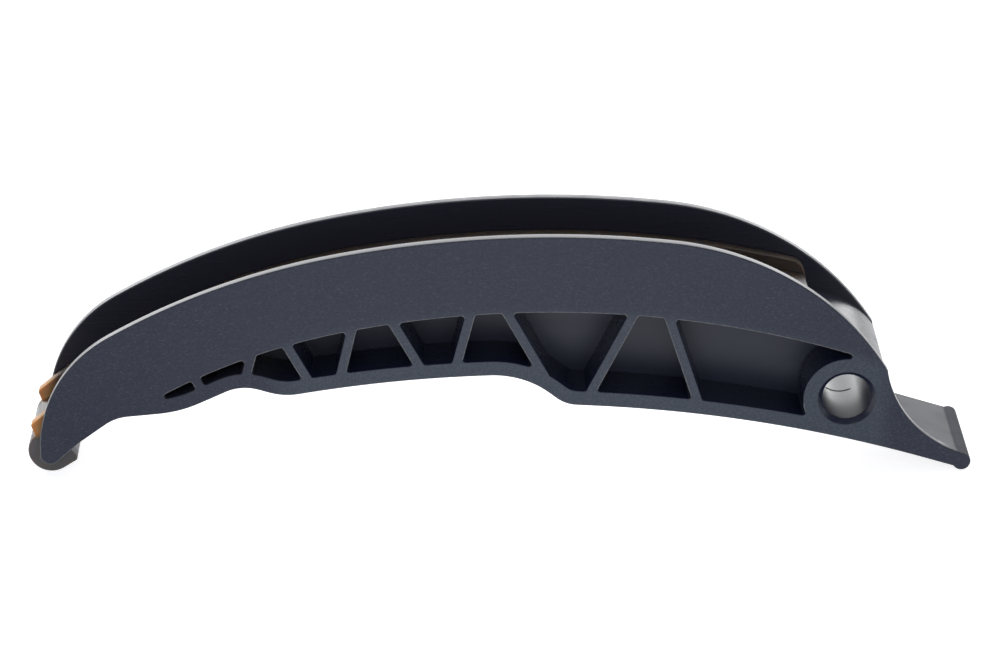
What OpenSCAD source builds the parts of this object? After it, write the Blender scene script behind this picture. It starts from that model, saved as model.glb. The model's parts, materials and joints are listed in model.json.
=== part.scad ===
// Timing chain guide: a swinging arm that a plunger pushes against a roller chain.
// Its dark carrier is one moulding with two cheeks, a channel, a truss, a pivot eye and a foot.
// The chain slides on the brown lining, which hooks round the carrier's free end.
// The origin is the pivot axis at mid width, +X points at the foot and +Z is up.

/* [Chain line] */
// Radius of the running surface over the crown
crown_r = 228.5; // [215:0.5:240]
// Place of the crown along the guide, from the pivot
crown_x = -67.7; // [-72:0.1:-65]
// Height of the running surface at the crown, above the pivot
crown_z = 29.7; // [28:0.1:32]
// Radius of the tighter stretch of running surface near the hook
heel_r = 149.5; // [142:0.5:158]
// Angle from the crown to the start of the tighter stretch
heel_turn = 11.4; // [10:0.1:13]

/* [Lining] */
// Thickness under the running surface
lining_t = 3.8; // [3:0.1:4.3]
// Height of each lip above the running surface
lip_h = 2.65; // [1.5:0.05:4]
// Thickness of each lip
lip_t = 2.5; // [1.5:0.1:3.5]
// Radius of the lips' end near the pivot
lip_end_r = 4; // [1:0.1:5]
// Lean of the lips' other end, over the hook, from upright
lip_tip_lean = 18; // [10:0.5:30]
// Radius of the lips' corner over the hook
lip_tip_r = 0.8; // [0.3:0.1:1.2]
// Angle from the crown to the lining's end near the pivot
lining_end = 15.5; // [13:0.1:16]
// Lean of that end, from upright
lining_end_lean = 11; // [4:0.5:16]
// Outer radius of the hook
hook_r = 5.1; // [4.8:0.1:6]
// Length of the hook's straight leg
leg_l = 4.1; // [3:0.1:5]
// Slope of the leg
leg_angle = 33; // [30:0.5:35]
// Radius of the leg's corners
leg_end_r = 0.9; // [0.3:0.1:1.3]
// Clearance between the lining and each cheek
side_gap = 0.15; // [0.05:0.05:0.4]
// Clearance past the end of the leg
leg_gap = 0.3; // [0.1:0.1:0.8]

/* [Carrier] */
// Width over the two cheeks
width = 24; // [20:0.5:30]
// Thickness of each cheek
cheek_t = 2.2; // [1.6:0.1:3]
// Height of the cheeks above the running surface
cheek_h = 10.3; // [8:0.1:12]
// Thickness of the channel's floor
floor_t = 4.1; // [3:0.1:5]
// Radius of the cheeks' tip inside the hook
tip_r = 2.15; // [1.8:0.05:2.6]
// Radius of the cheeks' shoulder above the tip
shoulder_r = 33.2; // [28:0.2:40]
// Radius over which the cheeks fall away to the pivot
end_r = 65.6; // [58:0.2:70]
// Wall that the fall leaves outside the boss
end_wall = 1.18; // [0.8:0.02:2.5]
// Radius over which the floor falls away past the lining
ramp_r = 20; // [17:0.5:23]
// Height of the cheeks that is left at the floor's end
cheek_fade = 0.2; // [0.1:0.05:0.5]

/* [Truss] */
// Thickness of the lower chord
chord_t = 3.6; // [2.5:0.1:4.2]
// Thickness of each rib
rib_t = 2.2; // [1.5:0.1:3]
// Thickness of the web at mid width
web_t = 2.8; // [1.6:0.1:5]
// Radius in the corners of the bays
bay_r = 0.6; // [0.5:0.05:0.9]
// Angle from the crown to the end of the bays, over the boss
bay_turn = 18.4; // [17.6:0.1:18.8]

/* [Underside] */
// Place of the heel's start, past the cheeks' tip
heel_start_x = -172.4; // [-174:0.1:-171.5]
// Height of the heel's start, past the cheeks' tip
heel_start_z = -10.1; // [-10.6:0.1:-9.6]
// Radius at the heel's start, past the cheeks' tip
heel_start_r = 12; // [9:0.5:14]
// Place of the heel's corner
heel_corner_x = -163.9; // [-165:0.1:-163]
// Height of the heel's corner
heel_corner_z = -3.8; // [-4.4:0.1:-3.2]
// Radius at the heel's corner
heel_corner_r = 10; // [7:0.5:12]
// Place of the start of the rise to the hump
hump_start_x = -149.4; // [-150.5:0.1:-148.5]
// Height of the start of the rise to the hump
hump_start_z = -2.4; // [-2.8:0.1:-1.8]
// Radius at the start of the rise to the hump
hump_start_r = 28; // [22:0.5:32]
// Place of the hump before the pad
hump_x = -135.5; // [-136.5:0.1:-134.5]
// Height of the hump before the pad
hump_z = 4.2; // [3.8:0.1:4.8]
// Radius at the hump before the pad
hump_r = 10; // [7:0.5:12]
// Place of the dip at the pad's end
pad_dip_x = -126.1; // [-127:0.1:-125]
// Height of the dip at the pad's end
pad_dip_z = 1.3; // [0.8:0.1:1.8]
// Radius at the dip at the pad's end
pad_dip_r = 14; // [11:0.5:16]
// Place of the pad that the plunger pushes on
pad_x = -101.6; // [-104:0.1:-99]
// Height of the pad that the plunger pushes on
pad_z = 5.5; // [5.2:0.1:5.9]
// Radius at the pad that the plunger pushes on
pad_r = 290; // [240:5:320]
// Place of the top of the step beside the pad
step_top_x = -72.7; // [-73.5:0.1:-72]
// Height of the top of the step beside the pad
step_top_z = 6.5; // [6:0.1:7]
// Radius at the top of the step beside the pad
step_top_r = 20; // [16:0.5:22]
// Place of the bottom of the step
step_bottom_x = -63.2; // [-64:0.1:-62.5]
// Height of the bottom of the step
step_bottom_z = -1.1; // [-1.5:0.1:-0.6]
// Radius at the bottom of the step
step_bottom_r = 8; // [6:0.5:10]
// Place of the long bend towards the foot
foot_bend_x = -18.5; // [-24:0.1:-12]
// Radius of the long bend
foot_bend_r = 310; // [200:5:360]

/* [Pivot] */
// Diameter of the pivot bore
bore_d = 11; // [8:0.1:13]
// Chamfer at each mouth of the bore
bore_chamfer = 1.15; // [0.3:0.05:1.6]
// Radius of the boss round the bore
boss_r = 9.9; // [9:0.1:10.2]

/* [Foot] */
// Distance along the guide from the pivot to the bead on the foot
foot_x = 26.75; // [24:0.05:32]
// Slope of the foot
foot_angle = 17.4; // [15:0.1:20]
// Thickness of the foot
foot_t = 3.1; // [2.4:0.1:3.6]
// Radius of the bead
bead_r = 2.05; // [1.9:0.05:2.6]
// Radius of the gusset at the front of the foot
gusset_r = 27.1; // [22:0.1:34]
// Angle past the floor's end at which the gusset starts
gusset_turn = 1.2; // [0.5:0.1:2]
// Radius between the boss and the foot
foot_root_r = 2.5; // [1:0.1:4]
// Height of the pivot above the surface that the guide stands on
pivot_h = 18.3; // [17:0.1:20]

/* [Hidden] */

// How far a chord may lie off its arc
arc_error = 0.004;
// The lips' top stops this many corner radii short of each of its corners
lip_room = 1.5;
// Sides of the round bore and of its chamfers
round_n = 96;
// Cuts run this far past the faces that they open
past = 1;
// The outer side of a cut lies well outside the guide
far = 2 * crown_r;

// Each rib's angle from the crown where it leaves the floor, and its lean from upright
ribs = [
    [-26.1, 24.5],
    [-20.63, -14.7],
    [-17.17, 27.8],
    [-11.27, -13.1],
    [-8.81, 28.6],
    [-4.37, -14.1],
    [-2.23, 28.2],
    [5.02, -25.8],
    [7.13, 18.3]
];

channel_w = width - 2 * cheek_t;
lining_w = channel_w - 2 * side_gap;
// Heights over the running surface: the lining's seat and the tops of the bays
seat_h = -lining_t;
bay_h = seat_h - floor_t;

// Angles run clockwise from straight up
function turn(a) = [sin(a), cos(a)];
function heading(v) = atan2(v[0], v[1]);
function unit(v) = v / norm(v);
function flat(v) = [v[0], v[1]];
function reversed(v) = [for (i = [len(v) - 1:-1:0]) v[i]];
function tail(v) = [for (i = [1:len(v) - 1]) v[i]];

// Points along an arc from angle a to angle b
function arc(centre, r, a, b) =
    let (n = max(2, ceil(abs(b - a) / (2 * acos(1 - arc_error / r)))))
    [for (i = [0:n]) centre + r * turn(a + (b - a) * i / n)];

// The point at distances ra from a and rb from b, on the right of the way from a to b
function meet(a, ra, b, rb) =
    let (d = norm(b - a), u = (b - a) / d)
    let (along = (ra * ra - rb * rb + d * d) / (2 * d))
    a + along * u + sqrt(ra * ra - along * along) * [u[1], -u[0]];

// How far from p along the direction dir the circle round c lies
function reach(p, dir, c, r) =
    let (o = p - c, along = o * dir)
    sqrt(along * along + r * r - o * o) - along;

// A path through points of [x, z, radius], with each inner corner rounded
function bend(p, v, q) =
    let (u = unit(flat(p) - flat(v)), w = unit(flat(q) - flat(v)), half = acos(u * w) / 2)
    let (centre = flat(v) + unit(u + w) * v[2] / sin(half), t = v[2] / tan(half))
    let (a = heading(flat(v) + u * t - centre), b = heading(flat(v) + w * t - centre))
    arc(centre, v[2], a, b - 360 * floor((b - a + 180) / 360));
function rounded(v) = [
    for (i = [0:len(v) - 1])
        each (i == 0 || i == len(v) - 1 || v[i][2] == 0
            ? [flat(v[i])]
            : bend(v[i - 1], v[i], v[i + 1]))
];

// Length that the round at corner i takes up on each side, and the share of it that fits before that corner
function taken(v, i) =
    i == 0 || i == len(v) - 1
        ? 0
        : let (u = unit(flat(v[i - 1]) - flat(v[i])), w = unit(flat(v[i + 1]) - flat(v[i])))
            v[i][2] / tan(acos(u * w) / 2);
function share(v, i) = norm(flat(v[i]) - flat(v[i - 1])) / (taken(v, i - 1) + taken(v, i));

// The same path with no round larger than its neighbours leave room for
function limited(v) = [
    for (i = [0:len(v) - 1])
        i == 0 || i == len(v) - 1
            ? v[i]
            : concat(flat(v[i]), v[i][2] * min(1, share(v, i), share(v, i + 1)))
];

// The same path moved to its left by d: left-hand bends tighten and right-hand bends open
function left_of(p, q) = let (u = unit(flat(q) - flat(p))) [-u[1], u[0]];
function moved(v, d) = [
    for (i = [0:len(v) - 1])
        let (n = left_of(v[max(i - 1, 0)], v[max(i, 1)]))
        let (m = left_of(v[min(i, len(v) - 2)], v[min(i + 1, len(v) - 1)]))
        let (side = sign(n[0] * m[1] - n[1] * m[0]))
        concat(flat(v[i]) + d * (n + m) / (1 + n * m), v[i][2] - side * d)
];

// Running surface: two tangent arcs, the crown and the heel, raised by h
crown_c = [crown_x, crown_z - crown_r];
heel_c = crown_c + (crown_r - heel_r) * turn(-heel_turn);
function chain_point(h, a) =
    a < -heel_turn
        ? heel_c + (heel_r + h) * turn(a)
        : crown_c + (crown_r + h) * turn(a);
function chain_line(h, from, to) =
    concat(
        arc(crown_c, crown_r + h, from, -heel_turn),
        tail(arc(heel_c, heel_r + h, -heel_turn, to))
    );

// Hook: its round is tangent to the running surface and stands on the ground
hook_z = hook_r - pivot_h;
hook_c = [heel_c[0] - sqrt(pow(heel_r - hook_r, 2) - pow(hook_z - heel_c[1], 2)), hook_z];
hook_a = heading(hook_c - heel_c);
lug_r = hook_r - lining_t;
leg_dir = turn(90 - leg_angle);
leg_out = turn(180 - leg_angle);

// Cheeks: shoulder and tip at the hook, a long fall at the pivot
shoulder_c = meet(heel_c, heel_r + cheek_h - shoulder_r, hook_c, shoulder_r - tip_r);
shoulder_a = heading(shoulder_c - heel_c);
tip_a = heading(hook_c - shoulder_c);
heel_run = [heel_start_x, heel_start_z] - hook_c;
heel_slope = atan2(heel_run[1], heel_run[0]) + asin(tip_r / norm(heel_run));
end_c = meet([0, 0], end_r - end_wall - boss_r, crown_c, crown_r + cheek_h - end_r);
end_turn = heading(end_c - crown_c);

// Floor's end: a ramp tangent to the seat that runs out just under the cheeks' edge
ramp_c = meet(crown_c, crown_r + seat_h - ramp_r, end_c, end_r - cheek_fade - ramp_r);
ramp_turn = heading(ramp_c - crown_c);
ramp_end_a = heading(ramp_c - end_c);
channel_end = end_c + (end_r - cheek_fade) * turn(ramp_end_a);

// Foot: a flat leaf from the boss to the bead, with a gusset along its front
bead_c = [foot_x, bead_r - pivot_h];
foot_dir = turn(90 + foot_angle);
foot_up = turn(foot_angle);
leaf_end = bead_c - sqrt(bead_r * bead_r - foot_t * foot_t / 4) * foot_dir;
leaf_under = leaf_end - foot_t / 2 * foot_up;
leaf_top = leaf_end + foot_t / 2 * foot_up;
gusset_start_a = ramp_end_a + gusset_turn;
gusset_start = end_c + end_r * turn(gusset_start_a);
gusset_c = meet(bead_c, gusset_r + bead_r, gusset_start, gusset_r);
gusset_end_a = heading(bead_c - gusset_c);

// Underside of the whole guide, from the cheeks' tip to the bead
underside = limited([
    concat(hook_c + tip_r * turn(180 - heel_slope), 0),
    [heel_start_x, heel_start_z, heel_start_r],
    [heel_corner_x, heel_corner_z, heel_corner_r],
    [hump_start_x, hump_start_z, hump_start_r],
    [hump_x, hump_z, hump_r],
    [pad_dip_x, pad_dip_z, pad_dip_r],
    [pad_x, pad_z, pad_r],
    [step_top_x, step_top_z, step_top_r],
    [step_bottom_x, step_bottom_z, step_bottom_r],
    [foot_bend_x, leaf_under[1] + (leaf_under[0] - foot_bend_x) * tan(foot_angle), foot_bend_r],
    concat(leaf_under, 0)
]);

// A flat outline in x and z, drawn through the width from y0 to y1
module across(y0, y1) {
    translate([0, y1, 0])
        rotate([90, 0, 0])
            linear_extrude(y1 - y0)
                children();
}

// Outline of the carrier's front: cheek, truss, gusset and foot
module carrier_outline() {
    polygon(concat(
        arc(end_c, end_r, gusset_start_a, end_turn),
        tail(arc(crown_c, crown_r + cheek_h, end_turn, -heel_turn)),
        tail(arc(heel_c, heel_r + cheek_h, -heel_turn, shoulder_a)),
        tail(arc(shoulder_c, shoulder_r, shoulder_a, tip_a)),
        tail(arc(hook_c, tip_r, tip_a, -180 - heel_slope)),
        tail(rounded(underside)),
        tail(arc(bead_c, bead_r, heading(leaf_under - bead_c) + 360, gusset_end_a + 180)),
        tail(reversed(tail(arc(gusset_c, gusset_r, heading(gusset_start - gusset_c), gusset_end_a))))
    ));
}

// Space between the cheeks: the channel over its floor, and room for the hook round the lug
module channel() {
    leg_room = hook_c + (leg_l + leg_gap) * leg_dir;
    polygon(concat(
        reversed(arc(ramp_c, ramp_r, ramp_turn, ramp_end_a)),
        tail(arc(crown_c, crown_r + seat_h, ramp_turn, lining_end)),
        tail(chain_line(seat_h, lining_end, hook_a)),
        tail(arc(hook_c, lug_r, hook_a, -180 - leg_angle)),
        [
            leg_room + lug_r * leg_out,
            leg_room + far * leg_out,
            [-far, -far],
            [-far, far],
            [far, far],
            [far, channel_end[1]]
        ]
    ));
}

// Space behind the gusset: past the boss and over the foot
module foot_room() {
    boss_a = heading(channel_end) + acos(boss_r / norm(channel_end));
    root_a = foot_angle + acos((leaf_top * foot_up + foot_root_r) / (boss_r + foot_root_r));
    root_c = (boss_r + foot_root_r) * turn(root_a);
    polygon(concat(
        [channel_end],
        arc([0, 0], boss_r, boss_a, root_a),
        tail(arc(root_c, foot_root_r, root_a + 180, foot_angle + 180)),
        arc(bead_c, bead_r, heading(leaf_top - bead_c), gusset_end_a + 180),
        [
            [far, bead_c[1] + bead_r],
            [far, far],
            [channel_end[0], far]
        ]
    ));
}

// The truss's bays: between the floor and the lower chord, split by the ribs
module bays() {
    offset(r = bay_r, $fn = 32)
        offset(delta = -bay_r)
            difference() {
                intersection() {
                    polygon(concat(
                        chain_line(bay_h, bay_turn, hook_a),
                        [[-far, -far], [chain_point(bay_h, bay_turn)[0], -far]]
                    ));
                    polygon(concat(rounded(moved(underside, chord_t)), [[far, far], [-far, far]]));
                }
                for (rib = ribs)
                    translate(chain_point(bay_h, rib[0]))
                        rotate(rib[1])
                            translate([-rib_t / 2, -crown_z - pivot_h])
                                square([rib_t, crown_z + pivot_h + floor_t]);
                circle(boss_r, $fn = round_n);
            }
}

// Pivot bore with a chamfer at each mouth
module pivot_hole() {
    bore_r = bore_d / 2;
    rotate([90, 0, 0]) {
        cylinder(h = width + 2 * past, r = bore_r, center = true, $fn = round_n);
        for (face = [0, 1])
            mirror([0, 0, face])
                translate([0, 0, width / 2 - bore_chamfer])
                    cylinder(
                        h = bore_chamfer + past,
                        r1 = bore_r,
                        r2 = bore_r + bore_chamfer + past,
                        $fn = round_n
                    );
    }
}

// Glass-filled carrier, moulded in one piece
module carrier() {
    color([0.25, 0.27, 0.31])
        difference() {
            across(-width / 2, width / 2) carrier_outline();
            across(-channel_w / 2, channel_w / 2) channel();
            across(-channel_w / 2, width / 2 + past) foot_room();
            across(-width / 2 - past, -web_t / 2) bays();
            across(web_t / 2, width / 2 + past) bays();
            pivot_hole();
        }
}

// Side view of the lining: lips, base, and the hook round the lug
module lining_outline() {
    end_foot = chain_point(seat_h, lining_end);
    end_dir = turn(-lining_end_lean);
    end_top = end_foot + reach(end_foot, end_dir, crown_c, crown_r + lip_h) * end_dir;
    end_run = lip_room * lip_end_r / (crown_r + lip_h) * 180 / PI;
    tip_foot = chain_point(0, hook_a);
    tip_dir = turn(-lip_tip_lean);
    tip_top = tip_foot + reach(tip_foot, tip_dir, heel_c, heel_r + lip_h) * tip_dir;
    tip_run = lip_room * lip_tip_r / (heel_r + lip_h) * 180 / PI;
    lip_top = chain_line(
        lip_h,
        heading(end_top - crown_c) - end_run,
        heading(tip_top - heel_c) + tip_run
    );
    leg_end = hook_c + leg_l * leg_dir;
    polygon(concat(
        tail(rounded(concat(
            [concat(end_foot, 0), concat(end_top, lip_end_r)],
            [for (p = lip_top) concat(p, 0)],
            [concat(tip_top, lip_tip_r), concat(tip_foot, 0)]
        ))),
        tail(arc(hook_c, hook_r, hook_a, -180 - leg_angle)),
        tail(rounded([
            concat(hook_c + hook_r * leg_out, 0),
            concat(leg_end + hook_r * leg_out, leg_end_r),
            concat(leg_end + lug_r * leg_out, leg_end_r),
            concat(hook_c + lug_r * leg_out, 0)
        ])),
        tail(reversed(arc(hook_c, lug_r, hook_a, -180 - leg_angle))),
        tail(reversed(chain_line(seat_h, lining_end, hook_a)))
    ));
}

// Space between the lips, over the running surface
module chain_room() {
    lip_tip = chain_point(0, hook_a) + past * turn(hook_a - 90);
    polygon(concat(
        chain_line(0, ramp_turn, hook_a),
        [
            lip_tip,
            lip_tip + far * turn(hook_a),
            [far, far]
        ]
    ));
}

// Brown sliding lining, moulded in one piece
module slide_lining() {
    chain_w = lining_w - 2 * lip_t;
    color([0.42, 0.28, 0.14])
        difference() {
            across(-lining_w / 2, lining_w / 2) lining_outline();
            across(-chain_w / 2, chain_w / 2) chain_room();
        }
}

carrier();
slide_lining();
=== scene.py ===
# %% [markdown]
# # Timing chain guide
# A timing chain guide is a curved arm inside an engine. It swings on a pivot pin, a plunger pushes on its
# underside, and the chain slides along its hollow top. The real one is two mouldings: a dark,
# glass-filled nylon carrier and a brown, slippery lining that hooks round the carrier's free end.
# The solids already have the right shape and place, so this lesson loads them first and then gives them
# the softened edges, the moulding marks and the two plastics that a photograph of such a part shows.

# %% Load the solids
import json
import math

import bmesh
import bpy
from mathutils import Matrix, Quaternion, Vector


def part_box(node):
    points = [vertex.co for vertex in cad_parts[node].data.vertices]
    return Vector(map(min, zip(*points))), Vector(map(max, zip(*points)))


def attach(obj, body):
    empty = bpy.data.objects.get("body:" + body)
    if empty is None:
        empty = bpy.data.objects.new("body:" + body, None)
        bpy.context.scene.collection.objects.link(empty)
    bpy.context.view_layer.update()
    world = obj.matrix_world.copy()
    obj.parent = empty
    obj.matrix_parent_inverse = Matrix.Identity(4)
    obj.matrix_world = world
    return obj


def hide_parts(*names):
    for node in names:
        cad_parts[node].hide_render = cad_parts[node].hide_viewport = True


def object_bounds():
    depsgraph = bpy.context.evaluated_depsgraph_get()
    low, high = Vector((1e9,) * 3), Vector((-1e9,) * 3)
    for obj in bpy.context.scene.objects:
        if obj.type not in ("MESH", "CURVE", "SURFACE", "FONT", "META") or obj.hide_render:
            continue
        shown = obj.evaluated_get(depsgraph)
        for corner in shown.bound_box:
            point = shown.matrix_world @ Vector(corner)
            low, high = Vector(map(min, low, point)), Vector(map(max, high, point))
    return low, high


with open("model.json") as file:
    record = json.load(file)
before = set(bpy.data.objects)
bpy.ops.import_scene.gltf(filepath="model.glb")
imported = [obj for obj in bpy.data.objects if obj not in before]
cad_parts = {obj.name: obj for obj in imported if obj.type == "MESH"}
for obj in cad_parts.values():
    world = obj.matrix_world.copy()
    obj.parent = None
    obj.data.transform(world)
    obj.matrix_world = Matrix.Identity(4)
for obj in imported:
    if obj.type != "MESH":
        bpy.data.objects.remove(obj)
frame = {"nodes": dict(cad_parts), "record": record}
cad_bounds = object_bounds()
MM = 0.001


def in_mm(corners):
    return [[round(c / MM, 2) for c in corner] for corner in corners]


print("solids:", {name: len(node.data.polygons) for name, node in frame["nodes"].items()})
print("box of the solids, mm:", in_mm(cad_bounds))

# %% [markdown]
# ## The camera
# The guide stands on its hook and its foot, and the photograph looks down on it by 26 degrees from almost
# straight in front, through a long lens. The place and the small roll come from lining up the pivot bore,
# the hook and the bead on the foot with their places in the picture.

# %% Place the camera
CAMERA_PLACE = Vector((-93.22, -691.36, 348.27)) * MM
CAMERA_AIM = Vector((-77.63, 0.0, 11.05)) * MM
CAMERA_ROLL = math.radians(0.222)
SENSOR_W = 36.0
LENS = 122.87
NEAREST_SEEN = 0.01


def add_to_scene(name, data):
    made = bpy.data.objects.new(name, data)
    bpy.context.scene.collection.objects.link(made)
    return made


camera = add_to_scene("camera", bpy.data.cameras.new("camera"))
camera.data.sensor_width = SENSOR_W
camera.data.lens = LENS
camera.data.clip_start = NEAREST_SEEN
sight = CAMERA_AIM - CAMERA_PLACE
look = sight.to_track_quat("-Z", "Y") @ Quaternion((0, 0, 1), CAMERA_ROLL)
camera.location = CAMERA_PLACE
camera.rotation_euler = look.to_euler()
bpy.context.scene.camera = camera
bpy.context.scene.view_settings.view_transform = "Standard"
print("camera stands", round(sight.length, 3), "m away")

# %% [markdown]
# ## Shader maths in plain Python
# A material here is a small calculation on the surface: a noise, a threshold, a mix of two colours. Adding
# each Math node by hand hides that calculation, so one small class wraps a socket. Arithmetic on it adds
# Math nodes, and its `node` method adds any other node: the settings go in first, then the values or links
# of its sockets. A socket is named by its label, with underscores for spaces, or by its number, as in `i0`.


# %% A socket that can be calculated with
class Signal:
    def __init__(self, tree, socket):
        self.tree = tree
        self.socket = socket

    def feed(self, target, value):
        if isinstance(value, Signal):
            self.tree.links.new(value.socket, target)
        else:
            target.default_value = value

    def node(self, kind, settings=None, out=0, **sockets):
        made = self.tree.nodes.new(kind)
        for name, value in (settings or {}).items():
            setattr(made, name, value)
        for name, value in sockets.items():
            numbered = name[0] == "i" and name[1:].isdigit()
            key = int(name[1:]) if numbered else name.replace("_", " ")
            self.feed(made.inputs[key], value)
        return Signal(self.tree, made.outputs[out])

    def maths(self, operation, a, b=0.0):
        return self.node("ShaderNodeMath", {"operation": operation}, i0=a, i1=b)

    def __add__(self, other):
        return self.maths("ADD", self, other)

    __radd__ = __add__

    def __sub__(self, other):
        return self.maths("SUBTRACT", self, other)

    def __rsub__(self, other):
        return self.maths("SUBTRACT", other, self)

    def __mul__(self, other):
        return self.maths("MULTIPLY", self, other)

    __rmul__ = __mul__

    def __abs__(self):
        return self.maths("ABSOLUTE", self)

    def axes(self):
        return [self.node("ShaderNodeSeparateXYZ", out=axis, Vector=self) for axis in range(3)]

    def step(self, low, high):
        settings = {"interpolation_type": "SMOOTHSTEP"}
        return self.node("ShaderNodeMapRange", settings, Value=self, From_Min=low, From_Max=high)

    def noise(self, scale, detail, stretch=None):
        where = self
        if stretch:
            where = self.node("ShaderNodeMapping", Vector=self, Scale=stretch)
        return self.node("ShaderNodeTexNoise", Vector=where, Scale=scale, Detail=detail)

    # A Mix node keeps its two colours in sockets 6 and 7 and their mix in output 2
    def blend(self, first, second):
        return self.node("ShaderNodeMix", {"data_type": "RGBA"}, out=2, Factor=self, i6=first, i7=second)

    def towards(self, other, mask):
        return self + mask * (other - self)

    def bump(self, strength, distance):
        return self.node("ShaderNodeBump", Strength=strength, Distance=distance, Height=self)


def new_finish(name):
    finish = bpy.data.materials.new(name)
    finish.use_nodes = True
    where = finish.node_tree.nodes.new("ShaderNodeTexCoord")
    return finish, Signal(finish.node_tree, where.outputs["Object"])


def set_finish(finish, where, sockets):
    shader = finish.node_tree.nodes["Principled BSDF"]
    for name, value in sockets.items():
        where.feed(shader.inputs[name], value)
    print(finish.name, "has", len(finish.node_tree.nodes), "nodes")


# %% [markdown]
# ## The carrier's kinds of surface
# One moulding of glass-filled nylon shows several finishes. Its outer faces carry a fine grain. The mould
# was cut smoother in the channel, inside the bays and at every edge. A round core left the bore, and the
# top of the foot is about as dull as the outer faces. Separate materials would need the mesh cut along each
# border. One material can hold them all instead: Object coordinates say how far a point lies from the mid
# plane, from the pivot's axis and from the centre of the chain's curve, and each distance becomes a mask.
# Each pair of sizes below gives where a mask starts to rise and where it is full.

# %% Find the carrier's kinds of surface
HALF_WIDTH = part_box("carrier")[1].y
BORE_R = frame["record"]["mounts"][0]["dims"]["r_mm"] * MM
BOSS_R = 9.9 * MM
CHEEK_T = 2.2 * MM
CROWN_X, CROWN_Z = -67.7 * MM, -198.8 * MM
BAY_TOP_R = 220.6 * MM
FACE_PLANE = (HALF_WIDTH - 0.12 * MM, HALF_WIDTH - 0.03 * MM)
BORE_SKIN = (BORE_R + 0.10 * MM, BORE_R + 0.20 * MM)
BAY_TOPS = (BAY_TOP_R - 2 * MM, BAY_TOP_R + 2 * MM)
FIRST_BAY = (-132 * MM, -122 * MM)
LAST_BAY = (BOSS_R - 4 * MM, BOSS_R + 2 * MM)
WEB_SIDE = (1.5 * MM, 1.8 * MM)
BOSS_END = (BOSS_R + 0.5 * MM, BOSS_R + 1.5 * MM)
GUSSET_BACK = (CHEEK_T - HALF_WIDTH, CHEEK_T - HALF_WIDTH + 0.2 * MM)
GUSSET_TIP = (21 * MM, 25 * MM)
carrier_finish, where = new_finish("carrier_glass_filled_nylon")
x, y, z = where.axes()


def radius(a, b):
    return a.maths("SQRT", a * a + b * b)


outer_face = abs(y).step(*FACE_PLANE)
bore_wall = 1 - radius(x, z).step(*BORE_SKIN)
below_floor = 1 - radius(x - CROWN_X, z - CROWN_Z).step(*BAY_TOPS)
truss = below_floor * x.step(*FIRST_BAY) * (1 - x.step(*LAST_BAY))
web = truss * (1 - abs(y).step(*WEB_SIDE))
off_gusset = y.maths("MAXIMUM", y.step(*GUSSET_BACK), x.step(*GUSSET_TIP))
foot_top = x.step(*BOSS_END) * off_gusset * (1 - outer_face)
print("bore radius", round(BORE_R / MM, 2), "mm, half width", round(HALF_WIDTH / MM, 2), "mm")

# %% [markdown]
# ## The carrier's colour
# The plastic is nearly black and slightly blue. Short glass fibres lie in its skin and catch the light, so
# the grained faces look slate grey, a little paler on the ribs and the lower chord. The smooth channel
# shows no fibres and is less blue, and the smooth bays are the darkest. Noise at several scales gives the
# patches, the grain and the fibres, because a pattern as even as this needs no picture of the surface.

# %% Mix the carrier's colour
SLATE_DARK, SLATE_LIGHT = (0.0090, 0.0155, 0.0400, 1), (0.0130, 0.0200, 0.0480, 1)
SLATE_GRAIN = (0.0260, 0.0340, 0.0620, 1)
TRUSS_DARK, TRUSS_LIGHT = (0.036, 0.051, 0.078, 1), (0.070, 0.088, 0.121, 1)
FIBRE = (0.082, 0.094, 0.128, 1)
CHANNEL_SMOOTH, BAY_SMOOTH = (0.0220, 0.0235, 0.0380, 1), (0.0110, 0.0155, 0.0390, 1)
TRUSS_SHARE, FIBRE_SHARE = 0.80, 0.42
grain = where.noise(scale=1900.0, detail=4.0)
patches = where.noise(scale=70.0, detail=3.0)
fibres = where.noise(scale=1300.0, detail=1.0, stretch=(1.0, 1.0, 2.5)).step(0.60, 0.72)
grain_tops = grain.step(0.35, 0.70)
slate = patches.step(0.3, 0.7).blend(SLATE_DARK, SLATE_LIGHT)
slate = grain_tops.blend(slate, SLATE_GRAIN)
slate = (truss * TRUSS_SHARE).blend(slate, grain_tops.blend(TRUSS_DARK, TRUSS_LIGHT))
slate = (fibres * FIBRE_SHARE).blend(slate, FIBRE)
carrier_colour = outer_face.blend(truss.blend(CHANNEL_SMOOTH, BAY_SMOOTH), slate)
print("carrier colour:", len(carrier_finish.node_tree.nodes), "nodes so far")

# %% [markdown]
# ## The carrier's gloss
# A moulded face is as rough as the mould was. The grained faces mirror a pale table softly. The bays are
# shinier, but a small pocket is hard to polish, so the webs of the small bays are duller. The bore is
# polished towards its rear mouth and dull at its front and its sides, with faint rings round the core.
# Its bright and dark zones are not painted: light that bounces twice in the bore before it leaves is
# dimmer.

# %% Set the carrier's gloss
CARRIER_IOR = 1.54
SMALL_BAYS = (-110 * MM, -70 * MM)
BORE_SIDES = (0.60 * BORE_R, 0.95 * BORE_R)
BORE_DEPTH = (-10 * MM, 6 * MM)
BEAD_SIDE = (25.3 * MM, 26.0 * MM)
streaks = where.noise(scale=420.0, detail=1.0, stretch=(0.05, 1.0, 1.0))
rings = where.noise(scale=900.0, detail=2.0, stretch=(0.12, 1.0, 0.12))
web_dullness = web * (0.12 + 0.14 * (1 - x.step(*SMALL_BAYS)))
inner_roughness = 0.24 + 0.08 * streaks + web_dullness
outer_roughness = 0.44 + 0.16 * grain
bore_roughness = 0.46 - 0.30 * y.step(*BORE_DEPTH) + 0.08 * rings + 0.25 * abs(x).step(*BORE_SIDES)
foot_roughness = 0.45 + 0.14 * streaks + 0.2 * x.step(*BEAD_SIDE)
roughness = inner_roughness.towards(outer_roughness, outer_face)
roughness = roughness.towards(bore_roughness, bore_wall)
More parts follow.
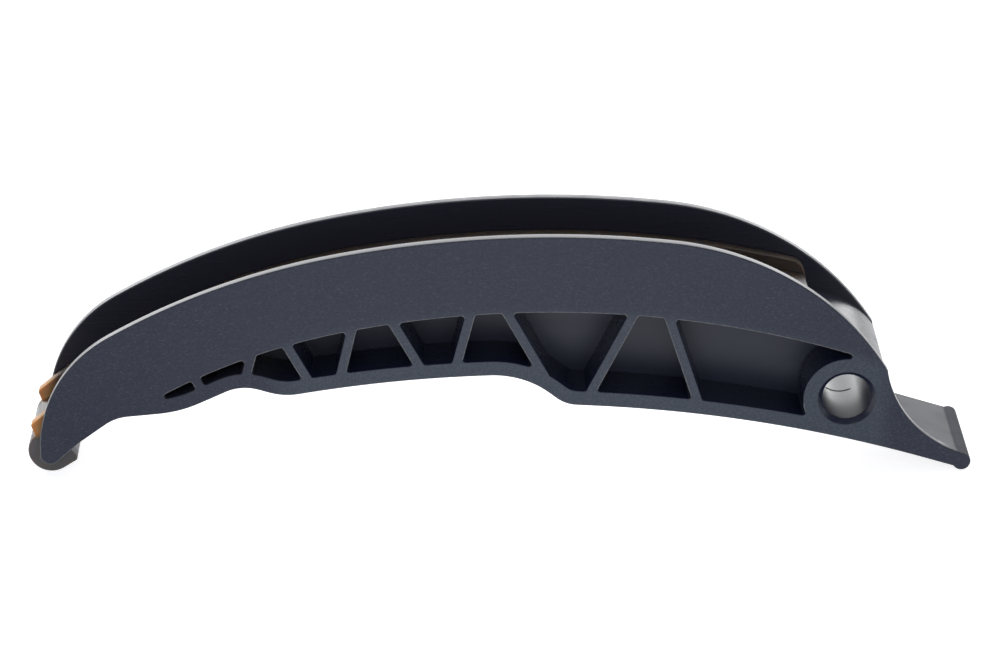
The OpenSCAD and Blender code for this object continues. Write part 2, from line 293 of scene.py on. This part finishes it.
roughness = roughness.towards(foot_roughness, foot_top)
height = outer_face * grain + (1 - outer_face) * (streaks * 0.02 + bore_wall * rings * 0.3)
carrier_sockets = {
    "Base Color": carrier_colour,
    "Roughness": roughness,
    "Normal": height.bump(strength=0.45, distance=0.04 * MM),
    "IOR": CARRIER_IOR,
}
set_finish(carrier_finish, where, carrier_sockets)

# %% [markdown]
# ## The lining's nylon
# The lining is a brown nylon that is slightly clear. Against the dark carrier it looks like chocolate, but
# the lips' free ends stand past the cheeks with light behind them and glow amber, and the hook below them
# is greyer. Subsurface scattering carries part of that light: red travels millimetres through it and blue
# hardly any. The rest is painted: the base colour turns from brown to amber over the last few millimetres
# of each lip, a painted glow of the light from behind. The chain polishes the running surface and leaves
# the lips duller.

# %% Mix the lining's nylon
LIP_Y = 7.15 * MM
LIP_SIDE = (LIP_Y - 0.3 * MM, LIP_Y)
CHEEK_TIPS = (-182.2 * MM, -177.6 * MM)
HOOK_TOP = (-10.4 * MM, -8.2 * MM)
BROWN_DARK, BROWN_LIGHT = (0.044, 0.030, 0.023, 1), (0.056, 0.038, 0.028, 1)
HOOK_GREY = (0.135, 0.130, 0.132, 1)
# This amber is a painted glow: it stands in for light that comes through the thin lips from behind
PAINTED_GLOW_AMBER = (0.52, 0.28, 0.095, 1)
lining_finish, where = new_finish("lining_brown_nylon")
x, y, z = where.axes()
lip = abs(y).step(*LIP_SIDE)
above_hook = z.step(*HOOK_TOP)
# Mask of the painted glow: the last few millimetres of each lip, past the cheeks and above the hook
painted_glow_end = lip * (1 - x.step(*CHEEK_TIPS)) * above_hook
cloud = where.noise(scale=160.0, detail=3.0)
rub = where.noise(scale=700.0, detail=2.0, stretch=(0.04, 1.0, 0.3))
brown = cloud.step(0.3, 0.7).blend(BROWN_DARK, BROWN_LIGHT)
brown = above_hook.blend(HOOK_GREY, brown)
lining_sockets = {
    # The lips' ends get the painted amber glow over the brown
    "Base Color": painted_glow_end.blend(brown, PAINTED_GLOW_AMBER),
    "Roughness": 0.26 + 0.14 * rub + 0.24 * lip,
    "Normal": rub.bump(strength=0.25, distance=0.03 * MM),
    "IOR": 1.53,
    "Subsurface Weight": 1.0,
    "Subsurface Radius": (1.0, 0.42, 0.10),
    "Subsurface Scale": 2.5 * MM,
}
set_finish(lining_finish, where, lining_sockets)

# %% [markdown]
# ## Softened edges
# A mould has no perfectly sharp edge, and the thin bright lines along the cheeks, the ribs and the bore
# come from outer edges rounded by 0.3 mm. A bevel over the whole solid would round the inner corners too.
# So a merged copy of each solid gets a bevel weight on the edges that stick out, and a smaller one round
# the mouths of the bore. Corners that point inwards stay crisp, and lines between two triangles of one
# flat face are left alone. The copy then stands for the solid.

# %% Mark the edges that stick out
SAME_POINT = 0.002 * MM
SAME_PLANE = 0.01 * MM
FOLD = math.radians(28)
BORE_MOUTH_R = BOSS_R - 2 * MM
BORE_EDGE_SHARE = 0.35


def merged(node_name):
    shape = bmesh.new()
    shape.from_mesh(frame["nodes"][node_name].data)
    bmesh.ops.remove_doubles(shape, verts=shape.verts, dist=SAME_POINT)
    return shape


def weighted_copy(node_name, piece_name):
    shape = merged(node_name)
    weight = shape.edges.layers.float.new("bevel_weight_edge")
    for line in shape.edges:
        depths = [vert.co.y for face in line.link_faces for vert in face.verts]
        in_plane = max(depths) - min(depths) < SAME_PLANE
        fold = 0.0 if in_plane else line.calc_face_angle_signed(0.0)
        at_bore = all(math.hypot(vert.co.x, vert.co.z) < BORE_MOUTH_R for vert in line.verts)
        if fold > FOLD:
            line[weight] = BORE_EDGE_SHARE if at_bore else 1.0
        line.smooth = fold > -FOLD
    for face in shape.faces:
        face.smooth = True
    print(piece_name, "has", sum(line[weight] > 0 for line in shape.edges), "edges to ease")
    mesh = bpy.data.meshes.new(piece_name)
    shape.to_mesh(mesh)
    shape.free()
    return mesh


# %% [markdown]
# ## Normals that keep flat faces flat
# A smooth-shaded bevel bends the normals of the flat face beside it, and a mirror-like plastic shows that
# at once. The Weld modifier first joins points that the bevel has pushed together, and the Weighted Normal
# modifier lets the large faces win. On the two outer planes every corner is then set to point straight
# out, so that no long thin triangle leaves a faint line.

# %% Ease the edges of a solid
EDGE = 0.30 * MM
WELD_DISTANCE = 0.001 * MM
LARGE_FACES_WIN = 100
SAME_WEIGHT = 0.001
FLAT_ACROSS = 0.9999
ON_FACE = 0.002 * MM


def plain_mesh(piece):
    graph = bpy.context.evaluated_depsgraph_get()
    mesh = bpy.data.meshes.new_from_object(piece.evaluated_get(graph), depsgraph=graph)
    piece.modifiers.clear()
    piece.data = mesh
    return mesh


def face_outwards(mesh):
    normals = [corner.vector.copy() for corner in mesh.corner_normals]
    for face in mesh.polygons:
        for loop in face.loop_indices:
            depth = mesh.vertices[mesh.loops[loop].vertex_index].co.y
            if abs(face.normal.y) > FLAT_ACROSS:
                normals[loop] = face.normal.copy()
            elif abs(abs(depth) - HALF_WIDTH) < ON_FACE:
                normals[loop] = Vector((0, math.copysign(1, depth), 0))
    mesh.normals_split_custom_set(normals)


def eased_copy(node_name, piece_name, finish):
    piece = add_to_scene(piece_name, weighted_copy(node_name, piece_name))
    bevel = piece.modifiers.new("edge", "BEVEL")
    bevel.width = EDGE
    bevel.segments = 2
    bevel.limit_method = "WEIGHT"
    bevel.use_clamp_overlap = False
    bevel.loop_slide = False
    weld = piece.modifiers.new("weld", "WELD")
    weld.merge_threshold = WELD_DISTANCE
    weighted = piece.modifiers.new("flat_faces", "WEIGHTED_NORMAL")
    weighted.weight = LARGE_FACES_WIN
    weighted.thresh = SAME_WEIGHT
    weighted.keep_sharp = True
    eased = plain_mesh(piece)
    eased.materials.clear()
    eased.materials.append(finish)
    face_outwards(eased)
    return piece


carrier = eased_copy("carrier", "carrier_eased", carrier_finish)
lining = eased_copy("slide_lining", "slide_lining_eased", lining_finish)
for piece, node_name, slot in ((carrier, "carrier", "carrier"), (lining, "slide_lining", "lining")):
    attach(piece, "root")
    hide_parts(node_name)
    print(piece.name, "has", len(piece.data.polygons), "faces")

# %% [markdown]
# ## Flash from the mould, and a painted highlight
# Where two parts of a mould meet, a little plastic creeps into the gap. It leaves a hair-thin fin along
# the line, and burrs where the fin has torn. The fins get a pale colour, which is a painted highlight: it
# draws the light line that a rounded edge shows where it mirrors the bright table below, along those edges
# of the bays that look down and round the cheeks' tips. In the bright bore, the fin on the seam where two
# cores met shows as a dark scratch. The lines are not drawn by hand: they are edges of the solid, moved in
# by the fin's radius from both faces, and one arc in the bore.

# %% Find the edges that get a fin and its painted highlight
FIN_R = 0.15 * MM
TIP_X, TIP_Z = -176 * MM, -2 * MM
ACROSS = 0.1
# Only edges beside a wall that looks down get a fin, where a rounded edge would mirror the bright table:
# the fin's pale colour paints that highlight
LOOKS_DOWN, LOOKS_DOWN_AT_TIP = -0.1, 0.5
CORE_SEAM_Y = 2.6 * MM
CORE_SEAM = [math.radians(152 + 2 * i) for i in range(32)]


def gets_highlight_fin(line, face):
    depths = [vert.co.y for vert in face.verts]
    one_sided = abs(face.normal.y) < ACROSS and max(depths) - min(depths) < HALF_WIDTH
    at_tip = all(vert.co.x < TIP_X and vert.co.z < TIP_Z for vert in line.verts)
    return one_sided and face.normal.z < (LOOKS_DOWN_AT_TIP if at_tip else LOOKS_DOWN)


def flash_and_highlight_lines():
    shape = merged("carrier")
    walls = {}
    pairs = []
    for line in shape.edges:
        if any(abs(abs(vert.co.y) - HALF_WIDTH) > SAME_PLANE for vert in line.verts):
            continue
        for face in line.link_faces:
            if gets_highlight_fin(line, face):
                pairs.append(tuple(line.verts))
                for vert in line.verts:
                    walls.setdefault(vert, []).append(face.normal.copy())
    order = {vert: i for i, vert in enumerate(walls)}
    places = []
    for vert, sides in walls.items():
        inwards = Vector((0, math.copysign(FIN_R, vert.co.y), 0))
        places.append(vert.co - FIN_R * sum(sides, Vector()).normalized() - inwards)
    steps = [(order[a], order[b]) for a, b in pairs]
    shape.free()
    return places, steps


points, steps = flash_and_highlight_lines()
steps += [(len(points) + i, len(points) + i + 1) for i in range(len(CORE_SEAM) - 1)]
points += [Vector((BORE_R * math.sin(a), CORE_SEAM_Y, BORE_R * math.cos(a))) for a in CORE_SEAM]
print("mould lines:", len(points), "points,", len(steps), "steps")

# %% [markdown]
# ## A tree that grows the flash
# The Geometry Nodes tree below takes any set of lines. It sweeps a tiny circle along them for the fin and
# sets burrs on a random share of their points, each with its own size and turn. The seed is fixed, so the
# burrs stay where they are. The wrapper class from the shaders adds these nodes too, because it only needs
# a node tree.

# %% Build the tree
FIN_SIDES = 8
SMALLEST_BURR = 0.3
FULL_TURN = (6.28, 6.28, 6.28)
RANDOM = "FunctionNodeRandomValue"
tree = bpy.data.node_groups.new("moulding_flash_and_highlight", "GeometryNodeTree")
kinds = {
    "Lines": "Geometry",
    "Fin radius": "Float",
    "Burr size": "Float",
    "Burr share": "Float",
    "Seed": "Int",
    "Plastic": "Material",
}
inputs = {
    name: tree.interface.new_socket(name, in_out="INPUT", socket_type="NodeSocket" + kind)
    for name, kind in kinds.items()
}
tree.interface.new_socket("Flash", in_out="OUTPUT", socket_type="NodeSocketGeometry")
group_in = tree.nodes.new("NodeGroupInput")
lines, fin_r, burr_r, share, seed, plastic = (Signal(tree, group_in.outputs[name]) for name in kinds)
curves = lines.node("GeometryNodeMeshToCurve", Mesh=lines)
section = lines.node(
    "GeometryNodeCurvePrimitiveCircle", {"mode": "RADIUS"}, Resolution=FIN_SIDES, Radius=fin_r
)
fin = curves.node("GeometryNodeCurveToMesh", Curve=curves, Profile_Curve=section, Fill_Caps=True)
# A Random Value node has sockets of its own for each kind of value, so these are numbered
chosen = seed.node(RANDOM, {"data_type": "BOOLEAN"}, out=3, Probability=share, Seed=seed)
size = seed.node(RANDOM, {"data_type": "FLOAT"}, out=1, i2=SMALLEST_BURR, i3=1.0, Seed=seed + 1)
turn = seed.node(RANDOM, {"data_type": "FLOAT_VECTOR"}, i1=FULL_TURN, Seed=seed + 2)
grit = lines.node("GeometryNodeMeshIcoSphere", Radius=burr_r, Subdivisions=1)
burr_sockets = {"Points": curves, "Selection": chosen, "Instance": grit, "Rotation": turn, "Scale": size}
burrs = curves.node("GeometryNodeInstanceOnPoints", **burr_sockets)
both = fin.node("GeometryNodeJoinGeometry", Geometry=fin)
tree.links.new(burrs.socket, both.socket.node.inputs["Geometry"])
real = both.node("GeometryNodeRealizeInstances", Geometry=both)
done = real.node("GeometryNodeSetMaterial", Geometry=real, Material=plastic)
tree.links.new(done.socket, tree.nodes.new("NodeGroupOutput").inputs["Flash"])
print("flash tree:", len(tree.nodes), "nodes")

# %% [markdown]
# ## The flash on the carrier
# The lines become a mesh that has edges and no faces, and the tree runs on it as a modifier. Each input is
# set by its socket's identifier, because that is the key a modifier keeps it under. The result is copied to
# a plain mesh and the modifier removed, so that the fins and burrs are real faces in any other program.

# %% Grow the flash on the carrier
# Colours far paler than the carrier: a painted highlight along the edges that carry a fin
FLASH_HIGHLIGHT_DARK, FLASH_HIGHLIGHT_LIGHT = (0.12, 0.125, 0.14, 1), (0.20, 0.205, 0.22, 1)
flash_highlight_finish, where = new_finish("flash_painted_highlight")
tear = where.noise(scale=900.0, detail=3.0)
flash_highlight_colour = tear.step(0.35, 0.65).blend(FLASH_HIGHLIGHT_DARK, FLASH_HIGHLIGHT_LIGHT)
set_finish(flash_highlight_finish, where, {"Base Color": flash_highlight_colour, "Roughness": 0.40 + 0.20 * tear})
line_mesh = bpy.data.meshes.new("flash_and_highlight_lines")
line_mesh.from_pydata(points, steps, [])
flash = add_to_scene("moulding_flash_and_highlight", line_mesh)
grower = flash.modifiers.new("flash", "NODES")
grower.node_group = tree
flash_values = {
    "Fin radius": FIN_R,
    "Burr size": 0.22 * MM,
    "Burr share": 0.02,
    "Seed": 11,
    "Plastic": flash_highlight_finish,
}
for name, value in flash_values.items():
    grower[inputs[name].identifier] = value
flash_mesh = plain_mesh(flash)
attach(flash, "root")
print("flash has", len(flash_mesh.polygons), "faces")

# %% [markdown]
# ## The white table
# The guide stands on a white table, which its outer faces and its bays mirror. The table glows where the
# camera or a reflection sees it, so it looks white there and still takes the guide's soft shadow. In
# reflections, its front part glows less towards both ends of the guide. That is painted shade: it makes
# those ends of the guide look darker than the middle.

# %% Lay the white table
GROUND = cad_bounds[0][2]
TABLE_HALF = 4.0
TABLE_GREY = (0.66, 0.66, 0.66, 1)
BLACK, TABLE_GLOW = (0, 0, 0, 1), (0.80, 0.80, 0.81, 1)
GUIDE_MIDDLE_X = -75 * MM
DIM_FROM_MIDDLE = (45 * MM, 110 * MM)
FRONT_PART = (-30 * MM, 0)
MIRRORED_GLOW, DIMMED = 0.96, 0.75
corners = [(-1, -1), (1, -1), (1, 1), (-1, 1)]
table_mesh = bpy.data.meshes.new("table")
table_mesh.from_pydata([(i * TABLE_HALF, j * TABLE_HALF, GROUND) for i, j in corners], [], [(0, 1, 2, 3)])
table = add_to_scene("table", table_mesh)
table_finish, where = new_finish("table_white")


def rays(kind):
    path = table_finish.node_tree.nodes.new("ShaderNodeLightPath")
    return Signal(table_finish.node_tree, path.outputs[f"Is {kind} Ray"])


seen, mirrored = rays("Camera"), rays("Glossy")
x, y = where.axes()[:2]
# Painted shade: in reflections the table glows less towards both ends of the guide, so those ends look
# darker
painted_dim_ends = abs(x - GUIDE_MIDDLE_X).step(*DIM_FROM_MIDDLE) * (1 - y.step(*FRONT_PART))
glow = seen.maths("MAXIMUM", seen, mirrored * (MIRRORED_GLOW - DIMMED * painted_dim_ends))
table_sockets = {
    "Base Color": TABLE_GREY,
    "Roughness": 0.9,
    "Specular IOR Level": 0.1,
    "Emission Color": glow.blend(BLACK, TABLE_GLOW),
    "Emission Strength": 1.0,
}
set_finish(table_finish, where, table_sockets)
table_mesh.materials.append(table_finish)
print("table at", round(GROUND / MM, 2), "mm")

# %% [markdown]
# ## Light and room
# A wide, bright panel behind the guide draws the pale lines along every upward edge, a second one above
# lights what looks up, and a weak one in front lifts the outer faces a little. Even light from all round
# would wash out the bays and the channel, so the room is white only near the horizon, and its dim ceiling
# leaves the insides dark.

# %% Light the room
WALL_WHITE, CEILING_GREY = (1, 1, 1, 1), (0.16, 0.17, 0.19, 1)
WALL_TOP = (math.sin(math.radians(6)), math.sin(math.radians(28)))
PANEL_AIM = Vector((-0.08, 0, 0.02))
world = bpy.data.worlds.new("studio")
world.use_nodes = True
bpy.context.scene.world = world
sky = world.node_tree.nodes["Background"]
sky.inputs["Strength"].default_value = 1.0
around = world.node_tree.nodes.new("ShaderNodeTexCoord")
direction = Signal(world.node_tree, around.outputs["Generated"])
upwards = direction.axes()[2]
direction.feed(sky.inputs["Color"], upwards.step(*WALL_TOP).blend(WALL_WHITE, CEILING_GREY))


def soft_panel(name, place, size, radiance):
    lamp = bpy.data.lights.new(name, "AREA")
    lamp.shape = "RECTANGLE"
    lamp.size, lamp.size_y = size
    lamp.energy = radiance * math.pi * size[0] * size[1]
    panel = add_to_scene(name, lamp)
    panel.location = place
    panel.rotation_euler = (PANEL_AIM - Vector(place)).to_track_quat("-Z", "Y").to_euler()
    panel.visible_camera = False
    print(name, "gives", round(lamp.energy, 2), "W")


soft_panel("back_panel", place=(-0.30, 1.10, 0.47), size=(2.4, 0.9), radiance=3.0)
soft_panel("top_panel", place=(-0.08, 0.35, 1.10), size=(1.2, 0.7), radiance=2.2)
soft_panel("front_panel", place=(-0.08, -1.20, 0.90), size=(1.6, 0.8), radiance=0.8)
